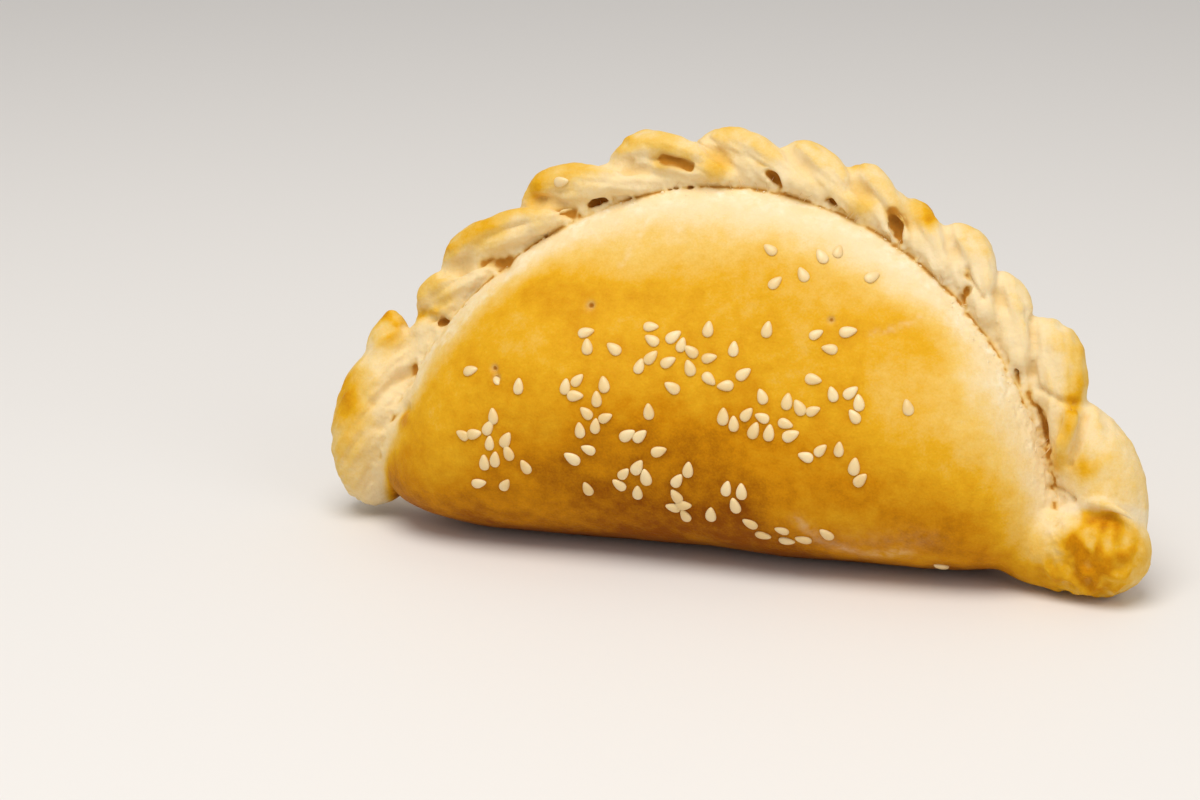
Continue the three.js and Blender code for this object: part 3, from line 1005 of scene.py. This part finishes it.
def sculpt(made):
    """Fillets the joints, sharpens the folds and adds the relief."""
    mesh = made.data
    p = mesh_points(mesh)
    edges = mesh_edges(mesh)
    p = relaxed(p, edges, FILLET_TIMES, fillets(p) * FILLET_WEIGHT)
    p = relaxed(p, edges, RIM_TIMES, hollow_rims(p) * RIM_WEIGHT)
    _, out, _ = seam_place(p)
    swell = p - relaxed(p, edges, SWELL_TIMES)
    p = p + swell * (SHARPENING * smoothstep(out, -1, 1.5) * (1 - hollow_rims(p)))[:, None]
    set_points(mesh, p)
    p = p + mesh_normals(mesh) * relief(p)[:, None]
    set_points(mesh, relaxed(p, edges, 1, 0.5))


def face_browning_and_shade(p, out):
    """How brown the seeded face is: by height, browner towards the bottom as baked colour with painted shade
    and painted warm bounce light, in patches, and paler along the seam.
    """
    x, y = p[:, 0], p[:, 1]
    heights, amounts = zip(*FACE_BROWNING_AND_SHADE)
    # By height: part baked colour, part painted light at the top and painted shade with warm bounce light at
    # the bottom.
    level = np.interp(y + ripple(p, *FACE_WANDER), heights, amounts)
    for px, py, wide, high, amount in FACE_PATCHES:
        level += amount * bell(np.hypot((x - px) / wide, (y - py) / high), 1)
    width = lerp(MARGIN["left"], MARGIN["right"], smoothstep(x, -50, 20)) * (1 + ripple(p, *MARGIN_WANDER))
    edge = 1 - smoothstep(-out, 0.1 * width, width)
    return level * (1 - MARGIN["fade"] * edge * smoothstep(y, 8, 22))


def rope_browning(p, degrees, out, ridges):
    """How brown the rope is: on its ridges, in patches and lines, and on the right knob."""
    level = lerp(*ROPE_BROWNING, smoothstep(degrees, 50, 110))
    level = level + RIDGE_BROWNING * smoothstep(ridges, 0.2, 0.9) * smoothstep(out, 2, 8)
    wander = ripple(p, *PATCH_WANDER)
    for d, o, radius, amount in ROPE_PATCHES:
        away = np.hypot((degrees - d) * MM_PER_DEGREE, out - o)
        level += amount * bell(away + wander, radius)
    wander = ripple(p, *LINE_WANDER)
    for path, width, amount in BROWN_LINES:
        level += amount * bell(seam_distance(degrees, out, path) + wander, width)
    gathered = spot(degrees, out, PUCKER["place"], PUCKER["spread"]) * smoothstep(p[:, 2], 10, 14)
    level += gathered * (PUCKER_BROWNING + ripple(p, *PUCKER_MOTTLE))
    return np.clip(level, 0, MOST_ROPE_BROWNING)


def browning(p, normals, degrees, out, ridges):
    """How brown the dough is baked at each point, from 0 to 1."""
    x, y = p[:, 0], p[:, 1]
    blend = on_face(p, out) * smoothstep(-out, -1, 2)
    corner = smoothstep(x, 52, 64) * (1 - smoothstep(y, 14, 22))
    blend = lerp(blend, 0.6 * (1 - smoothstep(x, 58, 68)), corner)
    level = lerp(rope_browning(p, degrees, out, ridges), face_browning_and_shade(p, out), blend)
    back = BACK_BROWNING + sum(ripple(p, *mottle) for mottle in BACK_MOTTLES)
    level = lerp(level, back, smoothstep(-normals[:, 2], 0.2, 0.7) * smoothstep(-out, -8, -1))
    return level + sum(ripple(p, *mottle) for mottle in MOTTLES)


def flour(p, out):
    """How much flour lies on each point."""
    x, y = p[:, 0], p[:, 1]
    dust = FLOUR_DUST["amount"] * bell(out - FLOUR_DUST["out"], FLOUR_DUST["spread"])
    dust *= smoothstep(y, 14, 40) * smoothstep(ripple(p, *DUST_WANDER), -0.35, 0.5)
    wander = ripple(p, *STREAK_WANDER)
    for path, width, amount in FLOUR_STREAKS:
        dust = np.maximum(dust, amount * bell(line_distance(x, y, path) + wander, width))
    return dust * smoothstep(p[:, 2], 2, 6)


def seed_halo(p):
    """Glaze that pools round the seeds."""
    nearest = np.full(len(p), 1e9)
    for x, y, _, _ in scatter():
        nearest = np.minimum(nearest, np.hypot(p[:, 0] - x, p[:, 1] - y))
    return HALO["amount"] * bell(nearest, HALO["radius"]) * smoothstep(p[:, 2], 4, 8)


def paint(made):
    """Keeps what the crust's material needs to know of each point: its browning, its flour, and the painted
    shade in the creases, hollows, crack and pin holes.
    """
    mesh = made.data
    p = mesh_points(mesh)
    normals = mesh_normals(mesh)
    edges = mesh_edges(mesh)
    ridges = np.einsum("ij,ij->i", p - relaxed(p, edges, RIDGE_TIMES), normals)
    grooves = np.einsum("ij,ij->i", relaxed(p, edges, GROOVE_TIMES) - p, normals)
    degrees, out, _ = seam_place(p)
    rope = smoothstep(out, -2.5, 0.5)
    # Painted shade: the seam's crack, the rope's creases and folds, the hollows and the pin holes are
    # darkened in colour.
    crack_shade = smoothstep(grooves, 0.05, 0.22) * bell(out - GAP_OUT, 0.6) * on_front(p, 1, 4)
    folds = 0.3 * smoothstep(grooves, 0.1, 0.5) + 0.2 * smoothstep(-ridges, 0.5, 1.6)
    hollows = np.maximum(np.maximum(rope * folds, crack_shade), hollow_shade(p, grooves))
    hollows = np.minimum(np.maximum(hollows, 1.2 * dents(p)), 1)
    set_mask(mesh, "browning", browning(p, normals, degrees, out, ridges) + seed_halo(p))
    set_mask(mesh, "flour", flour(p, out) * (1 - hollows))
    set_mask(mesh, "hollows", hollows)


# ---- materials


class Nodes:
    """Builds a material's node tree."""

    def __init__(self, name):
        self.material = bpy.data.materials.new(name)
        self.material.use_nodes = True
        self.tree = self.material.node_tree
        self.shader = self.tree.nodes["Principled BSDF"]

    def add(self, kind, **settings):
        node = self.tree.nodes.new("ShaderNode" + kind)
        for key, value in settings.items():
            setattr(node, key, value)
        return node

    def put(self, socket, value):
        if isinstance(value, bpy.types.NodeSocket):
            self.tree.links.new(value, socket)
        else:
            socket.default_value = value

    def fill(self, node, values):
        for name, value in values.items():
            self.put(node.inputs[name], value)
        return node

    def shade(self, values):
        """Sets the shader's inputs and gives the finished material."""
        self.fill(self.shader, values)
        return self.material

    def mask(self, name):
        return self.add("Attribute", attribute_name=name).outputs["Fac"]

    def noise(self, scale, detail=3):
        place = self.add("TexCoord").outputs["Object"]
        values = {"Vector": place, "Scale": scale, "Detail": detail, "Roughness": 0.55}
        return self.fill(self.add("TexNoise"), values).outputs["Fac"]

    def math(self, operation, *values):
        node = self.add("Math", operation=operation)
        for socket, value in zip(node.inputs, values):
            self.put(socket, value)
        return node.outputs[0]

    def fit(self, value, low, high, to_low=0.0, to_high=1.0):
        node = self.add("MapRange")
        for socket, given in zip(node.inputs, (value, low, high, to_low, to_high)):
            self.put(socket, given)
        return node.outputs["Result"]

    def mix(self, share, a, b):
        a, b = (end if isinstance(end, bpy.types.NodeSocket) else (*end, 1) for end in (a, b))
        node = self.add("Mix", data_type="RGBA")
        return self.fill(node, {"Factor": share, "A": a, "B": b}).outputs["Result"]

    def ramp(self, value, stops):
        node = self.add("ValToRGB")
        ramp = node.color_ramp
        while len(ramp.elements) < len(stops):
            ramp.elements.new(0.5)
        for element, (place, color) in zip(ramp.elements, stops):
            element.position = place
            element.color = (*color, 1)
        self.put(node.inputs["Fac"], value)
        return node.outputs["Color"]

    def bump(self, height, strength, distance):
        values = {"Height": height, "Strength": strength, "Distance": distance}
        node = self.fill(self.add("Bump"), values)
        self.put(self.shader.inputs["Normal"], node.outputs["Normal"])


def crust_material():
    """Dough from pale to amber, floured here and there, with painted shade in the creases, hollows, crack
    and pin holes, glazed where it is brown.
    """
    nodes = Nodes("baked_dough")
    mottle = nodes.fit(nodes.noise(MOTTLE_SCALE), 0.3, 0.7, -0.045, 0.045)
    specks = nodes.fit(nodes.noise(SPECK_SCALE, 2), 0.3, 0.7, -0.03, 0.03)
    level = nodes.math("ADD", nodes.math("ADD", nodes.mask("browning"), mottle), specks)
    hollows = nodes.mask("hollows")
    color = nodes.ramp(level, BROWNING_COLORS)
    # Painted shade: a soft brown in the creases and round the hollows, a deep brown inside the hollows, the
    # crack and the pin holes.
    color = nodes.mix(nodes.fit(hollows, 0, 0.7, 0, 0.85), color, SOFT_SHADE_COLOR)
    color = nodes.mix(nodes.fit(hollows, 0.7, 1, 0, 0.9), color, HOLLOW_SHADE_COLOR)
    dust = nodes.math("MULTIPLY", nodes.mask("flour"), nodes.fit(nodes.noise(DUST_SCALE, 4), 0.3, 0.7))
    pits = nodes.math("MULTIPLY", nodes.noise(PIT_SCALE, 3), 1.2)
    nodes.bump(nodes.math("ADD", nodes.noise(PORE_SCALE, 4), pits), 0.35, 0.0005)
    return nodes.shade(
        {
            "Base Color": nodes.mix(dust, color, FLOUR_COLOR),
            "Roughness": nodes.fit(level, 0.2, 0.8, 0.6, 0.4),
            "Specular IOR Level": 0.04,
            "Subsurface Weight": 0.12,
            "Subsurface Radius": (1, 0.55, 0.25),
            "Subsurface Scale": 0.0016,
        }
    )


def seed_material():
    nodes = Nodes("sesame")
    tone = nodes.fit(nodes.noise(SEED_SCALE, 2), 0.35, 0.65)
    return nodes.shade(
        {
            "Base Color": nodes.mix(tone, *SEED_COLORS),
            "Roughness": 0.36,
            "Subsurface Weight": 0.15,
            "Subsurface Radius": (1, 0.7, 0.4),
            "Subsurface Scale": 0.0008,
        }
    )


def thread_material():
    nodes = Nodes("dough_threads")
    return nodes.shade({"Base Color": THREAD_COLOR, "Roughness": 0.6, "Specular IOR Level": 0.15})


def crumb_material():
    nodes = Nodes("flour_crumbs")
    tone = nodes.fit(nodes.noise(CRUMB_SCALE, 2), 0.35, 0.65)
    color = nodes.mix(tone, *CRUMB_COLORS)
    return nodes.shade({"Base Color": color, "Roughness": 0.8, "Specular IOR Level": 0.1})


def floor_material():
    return Nodes("floor").shade({"Base Color": FLOOR_COLOR, "Roughness": 0.6})


# ---- the whole


def plain_surface(x, y):
    """The face before it is sculpted, as the solid has it."""
    x, y = np.array(x), np.array(y)
    return front_point(x, y), front_normal(x, y)


pieces = [body(), core(), *(knob(*spec) for spec in KNOBS)]
pieces.extend(crimp(*spec) for spec in CRIMPS)
pieces.extend(roll(*spec) for spec in LEAVES)
everything = upright(np.vstack([shape.points for shape in pieces + seeds(plain_surface)]))
low = everything.min(axis=0)
high = everything.max(axis=0)
SHIFT = np.array([-(low[0] + high[0]) / 2, -(low[1] + high[1]) / 2, -(low[2] + FOOT_DEPTH)])


def to_row(points):
    """From the half-moon's frame in millimetres to the row frame in metres."""
    placed = upright(points) + SHIFT
    placed[:, 2] = np.maximum(placed[:, 2], 0)
    return placed * MM


def place_piece(piece, material):
    """Sets a piece built in the half-moon's frame in its place on the object."""
    set_points(piece.data, to_row(mesh_points(piece.data)))
    piece.data.shade_smooth()
    piece.data.materials.clear()
    piece.data.materials.append(material)
    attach(piece, "root")


crust = make_object("crust", joined([*pieces, web(), *(roll(*spec) for spec in ROLLS)]))
remesh(crust, FIRST_VOXEL)
smooth(crust)
carve(crust, [gap(), *(roll(path, radii, HOLLOW_SEGMENTS, deep) for path, radii, deep in HOLLOWS)])
remesh(crust, LAST_VOXEL)
smooth(crust)
sculpt(crust)
decimate(crust, MOST_TRIANGLES)
paint(crust)
tree = BVHTree.FromObject(crust, bpy.context.evaluated_depsgraph_get())


def surface(x, y):
    """The crust's foremost point over (x, y), and its normal."""
    point, normal, _, _ = tree.ray_cast(Vector((x, y, 60)), Vector((0, 0, -1)))
    return np.array(point), np.array(normal)


dough = crust_material()
random = make_random(CRUMB_STREAM)
place_piece(crust, dough)
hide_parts("empanada")
place_piece(make_object("sesame_seeds", joined(seeds(surface))), seed_material())
place_piece(make_object("dough_threads", joined(threads(surface, random))), thread_material())
place_piece(make_object("flour_crumbs", joined(crumbs(surface, random))), crumb_material())

# ---- stage, light and camera

bpy.ops.mesh.primitive_plane_add(size=FLOOR_SIZE)
floor = bpy.context.object
floor.name = "floor"
floor.data.materials.append(floor_material())


def add_camera():
    """Looks at the object from the photo's angle."""
    back = Vector(
        (
            math.sin(VIEW_AZIMUTH) * math.cos(VIEW_ELEVATION),
            -math.cos(VIEW_AZIMUTH) * math.cos(VIEW_ELEVATION),
            math.sin(VIEW_ELEVATION),
        )
    )
    right = Vector((math.cos(VIEW_AZIMUTH), math.sin(VIEW_AZIMUTH), 0))
    up = back.cross(right)
    place = Vector(VIEW_ORIGIN) + right * VIEW_MIDDLE[0] + up * VIEW_MIDDLE[1] + back * VIEW_DISTANCE
    data = bpy.data.cameras.new("camera")
    data.sensor_width = SENSOR_WIDTH
    data.lens = FOCAL_PIXELS * SENSOR_WIDTH / IMAGE_WIDTH
    data.clip_start = 0.01
    data.clip_end = 20
    camera = bpy.data.objects.new("camera", data)
    camera.matrix_world = Matrix((right, up, back)).transposed().to_4x4()
    camera.location = place * MM
    bpy.context.scene.collection.objects.link(camera)
    bpy.context.scene.camera = camera


def add_light(place, size, power, color):
    data = bpy.data.lights.new("light", "AREA")
    data.shape = "DISK"
    data.size = size
    data.energy = power
    data.color = color
    light = bpy.data.objects.new("light", data)
    light.location = place
    light.rotation_euler = (Vector(LIGHT_TARGET) - Vector(place)).to_track_quat("-Z", "Y").to_euler()
    bpy.context.scene.collection.objects.link(light)


def add_sky():
    world = bpy.data.worlds.new("world")
    world.use_nodes = True
    world.node_tree.nodes["Background"].inputs[0].default_value = SKY_COLOR
    world.node_tree.nodes["Background"].inputs[1].default_value = SKY_STRENGTH
    bpy.context.scene.world = world


add_camera()
for spec in LIGHTS:
    add_light(**spec)
add_sky()
bpy.context.scene.view_settings.view_transform = "Standard"
